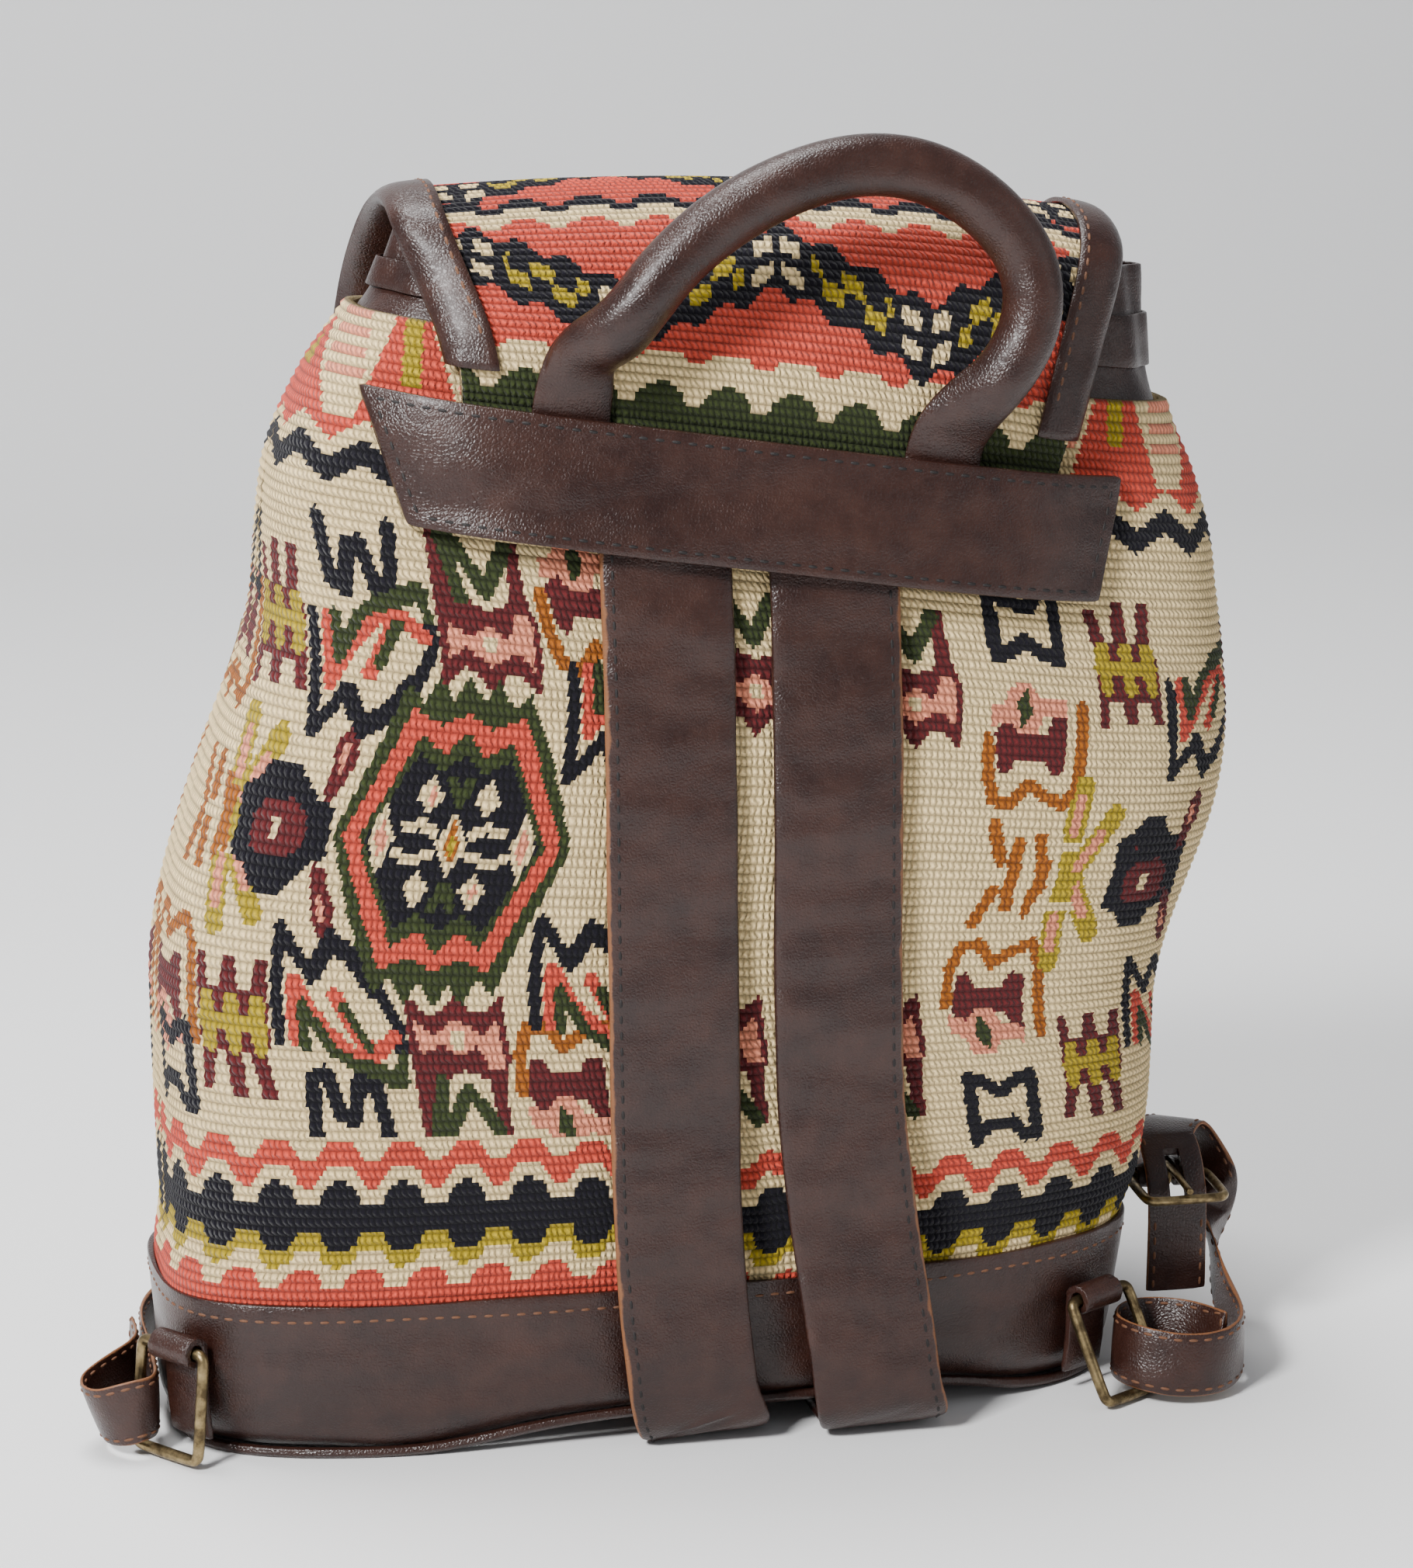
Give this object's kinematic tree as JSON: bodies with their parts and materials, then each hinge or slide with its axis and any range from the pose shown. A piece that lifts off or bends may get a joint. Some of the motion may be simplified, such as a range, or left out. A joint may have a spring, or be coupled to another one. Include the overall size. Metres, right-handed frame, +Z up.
{
  "type": "woven backpack",
  "caption": "Woven wool backpack with a leather base, yoke, carry handle, padded shoulder straps, wire buckles, side rings and a covering flap.",
  "frame": {"origin": "middle of the bounding box, at the height of the surface the bag stands on", "axes": "+Z up, -Y towards the side with the shoulder straps, +X to the right seen from that side"},
  "size_m": [0.405, 0.204, 0.4195],
  "materials": {
    "kilim": "flat-woven wool with coarse rows, cream ground with coral, navy, olive and maroon figures",
    "leather": "smooth dark brown leather with a soft sheen and raw tan edges",
    "lining": "plain dark cotton lining",
    "brass": "antique brass wire, darkened and worn"
  },
  "bodies": {
    "root": {"kilim_body": "kilim", "base_shell": "leather", "base_piping": "leather", "body_lining": "lining", "collar": "leather", "collar_channel": "leather", "flap_kilim": "kilim", "flap_lining": "lining", "flap_binding": "leather", "yoke_strip": "leather", "handle": "leather", "shoulder_strap_left": "leather", "shoulder_strap_right": "leather", "ring_tab_left": "leather", "ring_tab_right": "leather", "lower_strap_left": "leather", "lower_strap_right": "leather", "pocket_gusset": "leather", "pocket_panel": "kilim", "pocket_flap": "kilim", "pocket_flap_binding": "leather"},
    "ring_left": {"ring_left": "brass"},
    "ring_right": {"ring_right": "brass"},
    "prong_left": {"buckle_prong_left": "brass"},
    "prong_right": {"buckle_prong_right": "brass"},
    "buckle_left": {"buckle_frame_left": "brass"},
    "buckle_right": {"buckle_frame_right": "brass"}
  },
  "joints": [
    {"name": "ring_left_swing", "type": "hinge", "parent": "root", "child": "ring_left", "pos_m": [-0.17328, -0.06192, 0.03755], "axis": [-0.5942, 0.8043, 0], "range_deg": [0, 8]},
    {"name": "ring_right_swing", "type": "hinge", "parent": "root", "child": "ring_right", "pos_m": [0.13276, -0.06778, 0.03345], "axis": [-0.8487, -0.5288, 0], "range_deg": [0, 1.5]},
    {"name": "buckle_left_swivel", "type": "hinge", "parent": "root", "child": "buckle_left", "pos_m": [-0.12931, 0.06503, 0.017], "axis": [0, 0, 1], "range_deg": [-4, 4]},
    {"name": "buckle_right_swivel", "type": "hinge", "parent": "root", "child": "buckle_right", "pos_m": [0.17185, -0.01897, 0.057], "axis": [1, 0, 0], "range_deg": [-4, 4]},
    {"name": "prong_left_lift", "type": "hinge", "parent": "buckle_left", "child": "prong_left", "pos_m": [-0.12931, 0.06503, 0.017], "axis": [0, 0, -1], "range_deg": [0, 12]},
    {"name": "prong_right_lift", "type": "hinge", "parent": "buckle_right", "child": "prong_right", "pos_m": [0.17185, -0.01897, 0.057], "axis": [-1, 0, 0], "range_deg": [0, 12]}
  ]
}
